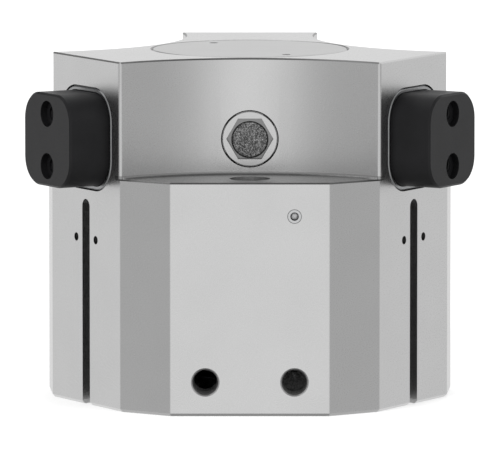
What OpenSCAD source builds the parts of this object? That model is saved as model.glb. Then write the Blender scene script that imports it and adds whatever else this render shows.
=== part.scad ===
// Sealed three-jaw centric gripper with a pneumatic wedge-hook drive.
// Millimetres, Z up. The origin is the centre of the bottom mounting face, the front is -Y.
// The jaws stand open. Closing: the piston goes down and the hooks pull all three jaws inwards.

/* [Housing] */
// Distance from the axis to each side face
flat_dist = 65; // [62:0.5:80]
// Height of the housing
body_h = 120; // [120:0.5:145]
// Width of each side face that carries a jaw
jaw_flat_w = 48; // [44:0.5:52]
// Width of each side face between two jaws
front_flat_w = 54.4; // [48:0.2:58]
// Height of the ledges under the three hollow pockets
ledge_h = 80; // [78:0.5:84]
// Distance from the axis to the nearest line of each hollow pocket
pocket_dist = 36.2; // [35:0.1:40]
// Radius on the upright corners
corner_r = 1; // [0.6:0.1:2]
// Chamfer round the mounting face
foot_chamfer = 1; // [0.5:0.1:2]
// Chamfer on the other outer edges
edge_chamfer = 0.5; // [0.3:0.1:0.8]
// Fillet at the foot of each hollow's wall
pocket_fillet = 1; // [0.4:0.1:1.5]

/* [Mounting holes] */
// Pitch circle of the three through holes
mount_pcd = 101.2; // [98:0.2:106]
// Through hole for an M8 screw
mount_hole_d = 9; // [8.4:0.1:10]
// Counterbore for the screw head
mount_head_d = 13.8; // [13.5:0.1:15]
// Depth of that counterbore
mount_head_depth = 9; // [8:0.5:12]
// Counterbore for a centring sleeve in the mounting face
foot_sleeve_d = 12; // [11:0.5:14]
// Depth of that counterbore
foot_sleeve_depth = 2.6; // [2:0.1:4]

/* [Air ports] */
// Core diameter of the G1/8 port thread
port_d = 8.8; // [8.6:0.1:9.2]
// Distance of each port from the middle of the front face
port_x = 15.2; // [13:0.1:18]
// Height of the ports
port_z = 11.7; // [11:0.1:13]
// Depth of the port threads
port_depth = 14; // [12:0.5:16]
// Throat from the left port into the cylinder
port_throat_d = 8; // [6:0.1:8.4]
// Countersink round the mouth of a port
port_chamfer = 0.5; // [0.2:0.1:0.8]
// Diameter of the drilled air channels
channel_d = 3; // [2:0.5:3.5]
// Distance of the upright channel from the front face
riser_inset = 12; // [11:0.5:13]
// Height of the cross channel that the front expander closes
cross_z = 68.5; // [66:0.1:69]
// Diameter of the expander sleeve
expander_d = 4.9; // [4:0.1:6]
// Length of the expander sleeve
expander_l = 4.5; // [4:0.1:6]
// Diameter of the expander ball
expander_ball_d = 2.8; // [2:0.1:3.2]

/* [Sensor slots] */
// Width of the slot mouth
slot_mouth_w = 5.2; // [5:0.1:6]
// Depth of the narrow mouth
slot_mouth_depth = 1.8; // [1.5:0.1:2.2]
// Width of the slot behind its mouth
slot_w = 7.2; // [6.5:0.1:8]
// Full depth of the slot
slot_depth = 6.4; // [6:0.1:7]
// Height of the closed end of the mouth
slot_top = 71.1; // [60:0.1:71.5]
// Core diameter of the M3 threads beside each slot
bracket_hole_d = 2.9; // [2.5:0.1:3]
// Distance between those two threads
bracket_pitch = 13.6; // [12:0.1:16]
// Height of those threads
bracket_z = 57.5; // [50:0.5:62]
// Depth of those threads
bracket_depth = 6; // [4:0.5:8]

/* [Jaws] */
// Width of a jaw
jaw_w = 32.7; // [28:0.1:37]
// Height of a jaw
jaw_h = 32; // [30:0.1:33]
// Corner radius of a jaw
jaw_corner_r = 9.6; // [6:0.1:12]
// Height of the jaw centre line
jaw_z = 92.2; // [92:0.1:94]
// How far an open jaw stands out of the side face
jaw_reach = 15.2; // [13:0.1:20]
// Travel of each jaw
jaw_stroke = 10; // [8:0.5:12]
// Distance between the two threads in a jaw
jaw_thread_pitch = 18; // [16:0.5:20]
// Core diameter of the M6 threads
jaw_thread_d = 5; // [4.2:0.1:5.2]
// Depth of the threads below the end face
jaw_thread_depth = 14; // [12:0.5:16]
// Counterbore for a centring sleeve
jaw_sleeve_d = 9; // [8:0.1:10]
// Depth of that counterbore
jaw_sleeve_depth = 2.4; // [2:0.1:3]
// Chamfer round the end face
jaw_chamfer = 0.7; // [0.4:0.1:1]

/* [Wipers] */
// Width of the metal wiper frame round a jaw
frame_rim = 1.3; // [1:0.1:1.6]
// Thickness of the wiper frame
frame_t = 1.2; // [0.8:0.1:1.6]
// Chamfer round the outer edge of the wiper frame
frame_chamfer = 0.5; // [0.2:0.1:0.7]
// Thickness of the rubber wiper behind the frame
wiper_t = 3; // [2:0.1:4]

/* [Drive] */
// Cylinder bore
piston_d = 63; // [56:0.5:76]
// Travel of the piston
piston_stroke = 20; // [16:0.5:24]
// Height of the piston
piston_h = 25; // [24:0.5:27]
// Piston rod diameter
rod_d = 20; // [18:0.5:24]
// Diameter of the rod spigot inside the piston
spigot_d = 16; // [15:0.5:17]
// Room for the hook block above and below the jaw centre line
drive_room = 22; // [22:0.1:23]
// Radius of the chamber that the hook block works in
chamber_r = 29; // [28:0.5:31]
// Width of the hook neck
hook_neck_w = 9; // [8:0.5:10]
// Thickness of the hook neck
hook_neck_t = 4; // [3.5:0.1:4.5]
// Width of the hook head
hook_head_w = 14; // [13:0.5:15]
// Thickness of the hook head
hook_head_t = 4; // [3.5:0.1:4.5]
// Radius left at the top of a closed jaw, where the three tips meet
tip_r = 3.8; // [3.5:0.1:5]

/* [Covers] */
// Diameter of the screwed top cover
cover_d = 68; // [66:0.5:70]
// Thickness of the top cover
cover_t = 5; // [4.5:0.1:5]
// Radius of the two spanner holes
spanner_r = 26; // [22:0.5:28]
// Diameter of the spanner holes
spanner_hole_d = 2.9; // [2.5:0.1:3.5]
// Depth of the spanner holes
spanner_hole_depth = 3; // [2:0.1:3.8]
// Direction of the first spanner hole
spanner_angle = 119; // [0:1:180]
// Height of the shoulder that the end cap seats on
cap_seat = 9; // [8.5:0.1:9.5]
// Thickness of the end cap
cap_t = 5.8; // [5.5:0.1:6]
// Distance of the recess in the end cap from the cylinder wall
cap_recess_rim = 14; // [13:0.5:18]
// Depth of that recess
cap_recess_depth = 1.5; // [1:0.1:2]
// Width of the seat round the end cap
cap_rim = 1; // [0.8:0.1:1.5]
// Thickness of the retaining ring
clip_t = 2.3; // [2:0.1:2.5]
// Depth of the retaining ring groove
clip_bite = 1.6; // [1.2:0.1:2]

/* [Vent] */
// Diameter of the hollow vent screw
vent_d = 19.2; // [18:0.1:21]
// Joint line round the vent screw
vent_seam = 0.3; // [0.1:0.05:0.4]
// Length of the vent screw
vent_l = 7.4; // [6.5:0.1:7.4]
// Width across the flats of its socket
vent_hex = 14; // [12:0.5:14.5]
// Depth of the socket down to the filter
vent_socket_depth = 2.2; // [1.5:0.1:3]
// Diameter of the sintered filter disc
filter_d = 12.5; // [11:0.1:13]
// Joint line round the filter disc
filter_seam = 0.15; // [0.05:0.05:0.3]
// How far the filter disc sits below the axis of the screw
filter_drop = 0.45; // [0:0.05:0.5]
// Thickness of the filter disc
filter_t = 2.5; // [2:0.1:3]

/* [Clearances] */
// Jaw in its guide
guide_gap = 0.15; // [0.1:0.01:0.2]
// Hook in its inclined slot
hook_gap = 0.15; // [0.1:0.01:0.2]
// Fixed pieces in their seats
fit_gap = 0.05; // [0.02:0.01:0.1]
// Round pieces that slide
run_gap = 0.04; // [0.02:0.01:0.1]
// Jaw tips between each other and the hook block in its chamber
tip_gap = 0.35; // [0.3:0.05:0.5]
// Joint line round screwed-in pieces
seam_gap = 0.15; // [0.1:0.01:0.2]

/* [Hidden] */
$fn = 96;

REAR = 90;
LEFT = 210;
RIGHT = 330;
JAW_DIRS = [REAR, LEFT, RIGHT];
POCKET_DIRS = [270, 30, 150];
FRONT = 270;
OVER = 1;                        // how far a cutting tool runs past the face it cuts
DRILL_POINT = 118;               // angle of a twist drill's point

// ---- heights of the stack ----
end_gap = 1;                     // piston to cylinder end at both limits
cap_bottom = cap_seat - cap_t;
cyl_r = piston_d / 2;
cyl_top = cap_seat + piston_h + piston_stroke + 2 * end_gap;
chamber_floor = jaw_z - drive_room;
chamber_top = body_h - cover_t;
web_t = chamber_floor - cyl_top;
piston_top = cyl_top - end_gap;
piston_bottom = piston_top - piston_h;

// ---- hook geometry: a jaw moves jaw_stroke while the piston moves piston_stroke ----
hook_slope = jaw_stroke / piston_stroke;
hook_angle = atan(hook_slope);
hook_gap_x = hook_gap / cos(hook_angle);
hook_end_gap = 0.65;             // hook block to the chamber ends at both limits
hook_side_gap = 0.4;             // hook head to the sides of its run
hook_run_out = 0.6;              // hook head to the end of its run
hook_h = 2 * (drive_room - hook_end_gap) - piston_stroke;
hook_bottom = jaw_z + piston_stroke / 2 - hook_h / 2;
hook_top = hook_bottom + hook_h;
hook_r = jaw_stroke + jaw_h / 2 * hook_slope + tip_r;
hook_out = hook_neck_t + hook_head_t;
core_r = chamber_r - 2;
slot_reach = face_x(hook_bottom) + hook_out + hook_run_out;

// ---- jaw and wiper outlines, each given by how far it stands outside the jaw ----
jaw_end = flat_dist + jaw_reach;
frame_gap = 0.1;                 // frame to the jaw guide
recess_gap = 0.3;                // frame to the side of its recess
frame_inner = guide_gap + frame_gap;
frame_outer = frame_inner + frame_rim;
recess_outer = frame_outer + recess_gap;
recess_depth = frame_t + wiper_t;

// ---- piston stack ----
upper_h = 8;
magnet_h = 5;
lower_h = piston_h - magnet_h - upper_h;
magnet_seat_wall = 13;
magnet_seat_r = spigot_d / 2 + magnet_seat_wall;
piston_gap = 0.25;
guide_z = 3;                     // guide ring groove, from the bottom of the piston
guide_h = 6;
guide_depth = 1.8;
seal_z = 2;                      // seal groove, from the bottom of the upper half
seal_h = 4.2;
seal_depth = 3.6;
screw_d = 10;
screw_head_d = 16;
screw_head_h = 10;
screw_l = 25;
screw_core_r = 4.25;
screw_key = 8;
screw_key_depth = 5;
screw_sink = 0.5;                // screw head below the bottom of the piston
screw_seat = piston_bottom + screw_head_h + screw_sink;
spigot_end = piston_bottom + lower_h + magnet_h - 1;

// ---- seals ----
oring_d = 2;
oring_room = 0.4;                // groove longer than the ring is thick
groove_edge = 1;                 // metal below a groove
rod_seal_w = 4;
rod_seal_r = rod_d / 2 + rod_seal_w;
rod_seal_h = 4.4;
rod_seal_edge = 2.6;             // metal below the rod seal
rod_seal_bottom = cyl_top + rod_seal_edge;
seal_to_bush = 0.9;
bush_wall = 2.5;
lead_in = 0.4;                   // chamfer at the mouths of the bush
bush_l = min(6.5, web_t - rod_seal_h - rod_seal_edge - seal_to_bush);
bumper_inset = 7.5;
bumper_w = 4;
bumper_r = [cyl_r - bumper_inset - bumper_w, cyl_r - bumper_inset];
bumper_depth = 2;
bumper_proud = 0.8;
bumper_h = bumper_depth + bumper_proud;

// ---- vent ----
vent_proud = 0.2;                // screw head in front of the hollow face
filter_ledge = 1.5;              // ledge that the filter disc rests on

// ---- air channels ----
plug_sink = 0.5;                 // expander seat deeper than the expander is long
sleeve_floor = 1;                // closed end of the expander sleeve
ball_sink = 0.2;                 // ball below the mouth of its sleeve
leg_edge = 0.5;                  // leg channel inside the cylinder wall
riser_y = -flat_dist + riser_inset;
leg_r = cyl_r - channel_d / 2 - leg_edge;
leg_y = -sqrt(leg_r * leg_r - port_x * port_x);

// x of the hook face at height z, in the frame of one jaw, with the jaws open
function face_x(z) = hook_r - (z - jaw_z) * hook_slope;

// ---- outlines of the housing ----
pocket_mid_x = flat_dist * cos(60) + jaw_flat_w / 2 * sin(60);
pocket_mid_y = flat_dist * sin(60) - jaw_flat_w / 2 * cos(60);
pocket_run = pocket_mid_x - pocket_dist;
pocket_r = (pocket_run * pocket_run + pocket_mid_y * pocket_mid_y) / (2 * pocket_run);
pocket_c = pocket_dist + pocket_r;

function turn(p, a) = [p[0] * cos(a) - p[1] * sin(a), p[0] * sin(a) + p[1] * cos(a)];
function flat_ends(a, w) = [turn([flat_dist, -w / 2], a), turn([flat_dist, w / 2], a)];
function bearing(v) = atan2(v[1], v[0]);

// Points of the arc that rounds corner b between a and c
function rounded(a, b, c, r, steps) =
    let (
        u = (a - b) / norm(a - b),
        v = (c - b) / norm(c - b),
        half = acos(u * v) / 2,
        mid = (u + v) / norm(u + v),
        centre = b + mid * r / sin(half),
        first = bearing(b + u * r / tan(half) - centre),
        sweep = 180 - 2 * half
    )
    [for (i = [0:steps]) centre + r * [cos(first + sweep * i / steps), sin(first + sweep * i / steps)]];

foot_corners = [
    for (k = [0:2]) each concat(
        flat_ends(FRONT + 120 * k, front_flat_w),
        flat_ends(RIGHT + 120 * k, jaw_flat_w)
    )
];
foot_points = [
    for (i = [0:len(foot_corners) - 1]) each rounded(
        foot_corners[(i + len(foot_corners) - 1) % len(foot_corners)],
        foot_corners[i],
        foot_corners[(i + 1) % len(foot_corners)],
        corner_r, 3
    )
];

// Rounded corner between a jaw face and a pocket, in the frame of that jaw, on its +Y side
corner_x = flat_dist - corner_r;
pocket_cx = pocket_c * cos(60);
pocket_cy = pocket_c * sin(60);
corner_y = pocket_cy - sqrt(pow(pocket_r + corner_r, 2) - pow(corner_x - pocket_cx, 2));
corner_sweep = bearing([pocket_cx - corner_x, pocket_cy - corner_y]);
head_corner = [
    for (i = [0:5]) [corner_x, corner_y] + corner_r * [cos(corner_sweep * i / 5), sin(corner_sweep * i / 5)]
];
head_points = [
    for (a = JAW_DIRS) each concat(
        [for (i = [5:-1:0]) turn([head_corner[i][0], -head_corner[i][1]], a)],
        [for (p = head_corner) turn(p, a)]
    )
];

// ---- building helpers ----

// Puts its child in the frame of a jaw or pocket: X outwards, Z up
module facing(dirs) {
    for (a = dirs) rotate(a) children();
}

// Puts its child, drawn along +Z, along a horizontal radius and starting at distance x
module radial(x, y, z) {
    translate([x, y, z]) rotate([0, 90, 0]) children();
}

// Rectangle with round corners, centred
module oblong(w, h, r) {
    square([w, h - 2 * r], center = true);
    square([w - 2 * r, h], center = true);
    for (sx = [-1, 1], sy = [-1, 1]) translate([sx * (w / 2 - r), sy * (h / 2 - r)]) circle(r);
}

// Bar with the jaw's outline grown by g, from x0 to x1
module jaw_bar(x0, x1, g) {
    translate([x0, 0, jaw_z])
        rotate([90, 0, 90])
            linear_extrude(x1 - x0) oblong(jaw_w + 2 * g, jaw_h + 2 * g, jaw_corner_r + g);
}

// The same bar with a chamfer c round its outer end
module bevelled_bar(x0, x1, g, c) {
    w = jaw_w + 2 * g;
    h = jaw_h + 2 * g;
    r = jaw_corner_r + g;
    jaw_bar(x0, x1 - c, g);
    translate([x1 - c, 0, jaw_z])
        rotate([90, 0, 90]) {
            for (sx = [-1, 1], sy = [-1, 1])
                translate([sx * (w / 2 - r), sy * (h / 2 - r), 0]) cylinder(r1 = r, r2 = r - c, h = c);
            rotate([90, 0, 0])
                linear_extrude(h - 2 * r, center = true)
                    polygon([[-w / 2, 0], [w / 2, 0], [w / 2 - c, c], [c - w / 2, c]]);
            rotate([90, 0, 90])
                linear_extrude(w - 2 * r, center = true)
                    polygon([[-h / 2, 0], [h / 2, 0], [h / 2 - c, c], [c - h / 2, c]]);
        }
}

// Drilled hole along +Z with the drill's point below z = 0
module drilled(d, depth) {
    point = d / 2 / tan(DRILL_POINT / 2);
    translate([0, 0, -point]) cylinder(r1 = 0, r2 = d / 2, h = point);
    cylinder(d = d, h = depth);
}

// Slab of width w along the hook slope, from x0 to x1 outside the hook face
module inclined(x0, x1, w, z0, z1) {
    rotate([90, 0, 0])
        linear_extrude(w, center = true)
            polygon([
                [face_x(z0) + x0, z0], [face_x(z0) + x1, z0],
                [face_x(z1) + x1, z1], [face_x(z1) + x0, z1]
            ]);
}

// Tool for a 45 degree chamfer along a straight edge of length l, at distance x and height z
module edge_tool(x, z, c, l) {
    translate([x, 0, z]) rotate([0, 45, 0]) cube([c * sqrt(2), l, c * sqrt(2)], center = true);
}

module oring(r_mid, z) {
    color("#202224")
        translate([0, 0, z]) rotate_extrude() translate([r_mid, 0]) circle(oring_d / 2 - fit_gap);
}

// ---- housing ----

// Cutter of a hollow, which leaves a fillet where the wall meets the ledge
module pocket_tool() {
    rotate_extrude($fn = 240) {
        square([pocket_r - pocket_fillet, body_h]);
        translate([0, pocket_fillet]) square([pocket_r, body_h - pocket_fillet]);
        translate([pocket_r - pocket_fillet, pocket_fillet]) circle(pocket_fillet, $fn = 32);
    }
}

module housing_outside() {
    linear_extrude(ledge_h) polygon(foot_points);
    translate([0, 0, ledge_h - OVER])
        difference() {
            linear_extrude(body_h - ledge_h + OVER) polygon(head_points);
            facing(POCKET_DIRS) translate([pocket_c, 0, OVER]) pocket_tool();
        }
}

module housing_edges() {
    last = len(foot_corners) - 1;
    for (i = [0:last]) {
        a = foot_corners[i];
        b = foot_corners[(i + 1) % (last + 1)];
        along = bearing(b - a);
        edge_dist = a[0] * sin(along) - a[1] * cos(along);
        slide = (a + b) / 2 * [cos(along), sin(along)];
        rotate(along - 90) translate([0, slide, 0]) edge_tool(edge_dist, 0, foot_chamfer, norm(b - a) + 4);
        if (i % 4 != 2)
            rotate(along - 90) translate([0, slide, 0]) edge_tool(edge_dist, ledge_h, edge_chamfer, norm(b - a));
    }
    facing(JAW_DIRS) edge_tool(flat_dist, body_h, edge_chamfer, jaw_flat_w + 4);
    facing(POCKET_DIRS)
        translate([pocket_c, 0, body_h - edge_chamfer])
            cylinder(r1 = pocket_r, r2 = pocket_r + 2 * edge_chamfer, h = 2 * edge_chamfer, $fn = 240);
}

module cylinder_bore() {
    translate([0, 0, cap_seat - OVER]) cylinder(r = cyl_r, h = cyl_top - cap_seat + OVER);
    translate([0, 0, -OVER]) cylinder(r = cyl_r + cap_rim, h = cap_seat + OVER);
    translate([0, 0, cap_bottom - clip_t - fit_gap])
        cylinder(r = cyl_r + cap_rim + clip_bite + fit_gap, h = clip_t + fit_gap);
    // rod guide and seal seats in the web
    translate([0, 0, cyl_top - OVER]) cylinder(r = rod_d / 2 + 0.4, h = web_t + 2 * OVER);
    translate([0, 0, rod_seal_bottom - fit_gap])
        cylinder(r = rod_seal_r + fit_gap, h = rod_seal_h + 2 * fit_gap);
    translate([0, 0, chamber_floor - bush_l])
        cylinder(r = rod_d / 2 + bush_wall + fit_gap, h = bush_l + OVER);
    translate([0, 0, cyl_top - OVER])
        difference() {
            cylinder(r = bumper_r[1] + fit_gap, h = bumper_depth + OVER);
            cylinder(r = bumper_r[0] - fit_gap, h = bumper_depth + OVER);
        }
}

module drive_chamber() {
    translate([0, 0, chamber_floor]) cylinder(r = chamber_r, h = chamber_top - chamber_floor + OVER);
    translate([0, 0, chamber_top]) cylinder(r = cover_d / 2, h = cover_t + OVER);
    translate([0, 0, body_h - edge_chamfer])
        cylinder(r1 = cover_d / 2, r2 = cover_d / 2 + 2 * edge_chamfer, h = 2 * edge_chamfer);
    facing(JAW_DIRS) {
        translate([0, -hook_head_w / 2 - hook_side_gap, chamber_floor])
            cube([slot_reach, hook_head_w + 2 * hook_side_gap, chamber_top - chamber_floor + 0.01]);
        jaw_bar(0, flat_dist + OVER, guide_gap);
        jaw_bar(flat_dist - recess_depth, flat_dist + OVER, recess_outer);
    }
}

module mounting_holes() {
    facing(POCKET_DIRS)
        translate([mount_pcd / 2, 0, 0]) {
            translate([0, 0, -OVER]) cylinder(d = mount_hole_d, h = ledge_h + 2 * OVER);
            translate([0, 0, ledge_h - mount_head_depth]) cylinder(d = mount_head_d, h = mount_head_depth + OVER);
            translate([0, 0, -OVER]) cylinder(d = foot_sleeve_d, h = foot_sleeve_depth + OVER);
        }
}

// Threaded port at side s of the front face
module port(s) {
    rotate(FRONT) {
        radial(flat_dist - port_depth, s * port_x, port_z) drilled(port_d, port_depth + OVER);
        radial(flat_dist - port_chamfer, s * port_x, port_z)
            cylinder(d1 = port_d, d2 = port_d + 4 * port_chamfer, h = 2 * port_chamfer);
    }
}

module air_channels() {
    // the left port opens straight into the bottom of the cylinder
    port(-1);
    rotate(FRONT) radial(cyl_r - 6, -port_x, port_z) cylinder(d = port_throat_d, h = flat_dist - cyl_r);
    // the right port feeds the top of the cylinder through three drilled channels
    port(1);
    translate([port_x, riser_y, -OVER]) cylinder(d = channel_d, h = cross_z + OVER);
    translate([port_x, riser_y, -OVER]) cylinder(d = expander_d, h = expander_l + plug_sink + OVER);
    translate([port_x, leg_y, cyl_top - OVER]) cylinder(d = channel_d, h = cross_z - cyl_top + OVER);
    translate([port_x, leg_y, cross_z]) rotate([90, 0, 0]) cylinder(d = channel_d, h = flat_dist + leg_y + OVER);
    translate([port_x, -flat_dist + expander_l + plug_sink, cross_z])
        rotate([90, 0, 0]) cylinder(d = expander_d, h = expander_l + plug_sink + OVER);
}

// Undercut slot for a cylinder switch, open at the mounting face, in the frame of a jaw
module sensor_slot() {
    arc_z = slot_top - slot_mouth_w / 2;
    translate([flat_dist - slot_depth, -slot_mouth_w / 2, -OVER])
        cube([slot_depth + OVER, slot_mouth_w, arc_z + OVER]);
    radial(flat_dist - slot_depth, 0, arc_z) cylinder(d = slot_mouth_w, h = slot_depth + OVER);
    translate([flat_dist - slot_depth, -slot_w / 2, -OVER])
        cube([slot_depth - slot_mouth_depth, slot_w, arc_z + OVER]);
    radial(flat_dist - slot_depth, 0, arc_z) cylinder(d = slot_w, h = slot_depth - slot_mouth_depth);
    for (s = [-1, 1])
        radial(flat_dist - bracket_depth, s * bracket_pitch / 2, bracket_z)
            drilled(bracket_hole_d, bracket_depth + OVER);
}

module housing() {
    color("#c9cbcc")
        difference() {
            housing_outside();
            housing_edges();
            cylinder_bore();
            drive_chamber();
            mounting_holes();
            air_channels();
            facing(JAW_DIRS) sensor_slot();
            rotate(FRONT) radial(chamber_r - 3, 0, jaw_z) cylinder(d = vent_d + 2 * vent_seam, h = pocket_dist);
        }
}

// ---- covers and static seals ----

module top_cover() {
    r = cover_d / 2 - seam_gap;
    groove_z = chamber_top + groove_edge;
    color("#bfc1c2")
        difference() {
            union() {
                translate([0, 0, chamber_top]) cylinder(r = r, h = cover_t - edge_chamfer);
                translate([0, 0, body_h - edge_chamfer])
                    cylinder(r1 = r, r2 = r - edge_chamfer, h = edge_chamfer);
            }
            translate([0, 0, groove_z])
                difference() {
                    cylinder(r = r + OVER, h = oring_d + oring_room);
                    cylinder(r = r - oring_d + seam_gap, h = oring_d + oring_room);
                }
            for (a = [0, 180])
                rotate(spanner_angle + a)
                    translate([spanner_r, 0, body_h - spanner_hole_depth]) drilled(spanner_hole_d, cover_t);
        }
}

module top_cover_oring() {
    oring((cover_d - oring_d) / 2, chamber_top + groove_edge + (oring_room + oring_d) / 2);
}

module end_cap() {
    r = cyl_r + cap_rim - fit_gap;
    color("#b4b6b8")
        difference() {
            translate([0, 0, cap_bottom]) cylinder(r = r, h = cap_t);
            translate([0, 0, cap_bottom + groove_edge])
                difference() {
                    cylinder(r = r + OVER, h = oring_d + oring_room);
                    cylinder(r = r - oring_d + fit_gap, h = oring_d + oring_room);
                }
            // recess that lightens the outside of the cap
            translate([0, 0, cap_bottom - OVER]) cylinder(r = cyl_r - cap_recess_rim, h = cap_recess_depth + OVER);
            translate([0, 0, cap_seat - bumper_depth])
                difference() {
                    cylinder(r = bumper_r[1] + fit_gap, h = bumper_depth + OVER);
                    cylinder(r = bumper_r[0] - fit_gap, h = bumper_depth + OVER);
                }
        }
}

module end_cap_oring() {
    oring(cyl_r + cap_rim - oring_d / 2, cap_bottom + groove_edge + (oring_room + oring_d) / 2);
}

// Internal retaining ring with two ears for the pliers
module end_cap_clip() {
    outer = cyl_r + cap_rim + clip_bite;
    inner = outer - 4.6;
    ear_r = 3.2;
    ear_hole_r = 1.25;
    ear_c = inner - ear_r / 4;
    ear_angle = 11;
    color("#53565a")
        translate([0, 0, cap_bottom - clip_t])
            linear_extrude(clip_t - fit_gap)
                difference() {
                    union() {
                        difference() {
                            circle(outer);
                            circle(inner);
                            polygon([
                                [0, 0], turn([2 * outer, 0], FRONT - ear_angle),
                                turn([2 * outer, 0], FRONT + ear_angle)
                            ]);
                        }
                        for (s = [-1, 1]) rotate(FRONT + s * ear_angle) translate([ear_c, 0]) circle(ear_r);
                    }
                    for (s = [-1, 1]) rotate(FRONT + s * ear_angle) translate([ear_c, 0]) circle(ear_hole_r);
                }
}

module ring_profile(points, tint) {
    color(tint) rotate_extrude() polygon(points);
}

module rod_bush() {
    inner = rod_d / 2 + run_gap;
    outer = rod_d / 2 + bush_wall;
    z0 = chamber_floor - bush_l;
    ring_profile([
        [inner, z0 + lead_in], [inner + lead_in, z0], [outer, z0],
        [outer, chamber_floor], [inner + lead_in, chamber_floor], [inner, chamber_floor - lead_in]
    ], "#b08d57");
}

// Lip seal with its open side towards the cylinder
module rod_seal() {
    inner = rod_d / 2 + run_gap;
    outer = rod_seal_r;
    z0 = rod_seal_bottom;
    z1 = z0 + rod_seal_h;
    mid = (inner + outer) / 2;
    lip = 0.6;
    valley = rod_seal_h / 2;
    ring_profile([
        [inner, z0 + lip], [inner + lip, z0], [mid - lip, z0 + lip / 2], [mid, z0 + valley],
        [mid + lip, z0 + lip / 2], [outer - lip, z0], [outer, z0 + lip],
        [outer, z1], [inner + lip, z1], [inner + lip, z0 + valley]
    ], "#2c6e49");
}

module bumper(z0) {
    color("#3a3d40")
        translate([0, 0, z0])
            difference() {
                cylinder(r = bumper_r[1], h = bumper_h);
                translate([0, 0, -OVER]) cylinder(r = bumper_r[0], h = bumper_h + 2 * OVER);
            }
}

module upper_bumper() {
    bumper(cyl_top + bumper_depth - bumper_h);
}

module lower_bumper() {
    bumper(cap_seat - bumper_depth);
}

// ---- piston ----

module piston_lower() {
    r = cyl_r - piston_gap;
    spigot_z = piston_bottom + lower_h;
    color("#a7abad")
        difference() {
            union() {
                translate([0, 0, piston_bottom]) cylinder(r = r, h = lower_h);
                translate([0, 0, spigot_z]) cylinder(r = magnet_seat_r, h = magnet_h);
            }
            // groove for the guide ring
            translate([0, 0, piston_bottom + guide_z])
                difference() {
                    cylinder(r = r + OVER, h = guide_h);
                    cylinder(r = r - guide_depth, h = guide_h);
                }
            translate([0, 0, piston_bottom - OVER])
                cylinder(d = screw_head_d + 4 * piston_gap, h = screw_seat - piston_bottom + OVER);
            translate([0, 0, piston_bottom]) cylinder(d = screw_d + 2 * piston_gap, h = piston_h);
            translate([0, 0, spigot_end]) cylinder(d = spigot_d + 2 * fit_gap, h = piston_h);
        }
}

module piston_upper() {
    r = cyl_r - piston_gap;
    z0 = piston_top - upper_h;
    color("#a7abad")
        difference() {
            translate([0, 0, z0]) cylinder(r = r, h = upper_h);
            translate([0, 0, z0 + seal_z])
                difference() {
                    cylinder(r = r + OVER, h = seal_h);
                    cylinder(r = r - seal_depth, h = seal_h);
                }
            translate([0, 0, z0 - OVER]) cylinder(d = spigot_d + 2 * fit_gap, h = piston_h);
            translate([0, 0, z0 - OVER]) cylinder(r = spigot_d / 2 + oring_d, h = oring_d + oring_room + OVER);
        }
}

module spigot_oring() {
    oring((spigot_d + oring_d) / 2 + fit_gap, piston_top - upper_h + (oring_room + oring_d) / 2);
}

module piston_magnet() {
    color("#4b4d52")
        translate([0, 0, piston_bottom + lower_h])
            difference() {
                cylinder(r = cyl_r - 2.4 * piston_gap, h = magnet_h);
                translate([0, 0, -OVER]) cylinder(r = magnet_seat_r + fit_gap, h = magnet_h + 2 * OVER);
            }
}

module piston_seal() {
    inner = cyl_r - piston_gap - seal_depth + fit_gap;
    outer = cyl_r - run_gap;
    z0 = piston_top - upper_h + seal_z + fit_gap;
    z1 = z0 + seal_h - 2 * fit_gap;
    mid = (z0 + z1) / 2;
    lip = 0.8;
    waist = lip / 2;
    ring_profile([
        [inner, z0 + waist], [inner + waist, z0], [outer - lip, z0], [outer, z0 + lip],
        [outer - lip, mid], [outer, z1 - lip], [outer - lip, z1], [inner + waist, z1],
        [inner, z1 - waist], [inner + waist, mid]
    ], "#2c6e49");
}

module piston_guide_ring() {
    r = cyl_r - piston_gap;
    color("#5a3c28")
        translate([0, 0, piston_bottom + guide_z + fit_gap])
            difference() {
                cylinder(r = cyl_r - run_gap, h = guide_h - 2 * fit_gap);
                translate([0, 0, -OVER]) cylinder(r = r - guide_depth + fit_gap, h = guide_h + 2 * OVER);
            }
}

module piston_screw() {
    color("#2f3235")
        difference() {
            union() {
                translate([0, 0, screw_seat - screw_head_h]) cylinder(d = screw_head_d, h = screw_head_h);
                translate([0, 0, screw_seat - OVER]) cylinder(r = screw_core_r - run_gap, h = screw_l + OVER);
            }
            translate([0, 0, screw_seat - screw_head_h - OVER])
                cylinder(d = screw_key / cos(30), h = screw_key_depth + OVER, $fn = 6);
        }
}

// Piston rod and hook block in one piece: three inclined T-shaped hooks round a three-sided core
module hook_rod() {
    color("#8d9296")
        difference() {
            union() {
                difference() {
                    translate([0, 0, hook_bottom]) cylinder(r = core_r, h = hook_h);
                    facing(JAW_DIRS) inclined(0, 2 * core_r, 4 * core_r, hook_bottom - OVER, hook_top + OVER);
                }
                facing(JAW_DIRS) {
                    inclined(-2, hook_neck_t + 0.5, hook_neck_w, hook_bottom, hook_top);
                    inclined(hook_neck_t, hook_out, hook_head_w, hook_bottom, hook_top);
                }
                translate([0, 0, piston_top]) cylinder(d = rod_d, h = hook_bottom - piston_top + OVER);
                translate([0, 0, spigot_end + 0.3]) cylinder(d = spigot_d, h = piston_top - spigot_end);
            }
            translate([0, 0, spigot_end]) cylinder(r = screw_core_r, h = screw_l + 2);
        }
}

// ---- jaws and wipers, each in the frame of its own jaw ----

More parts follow.
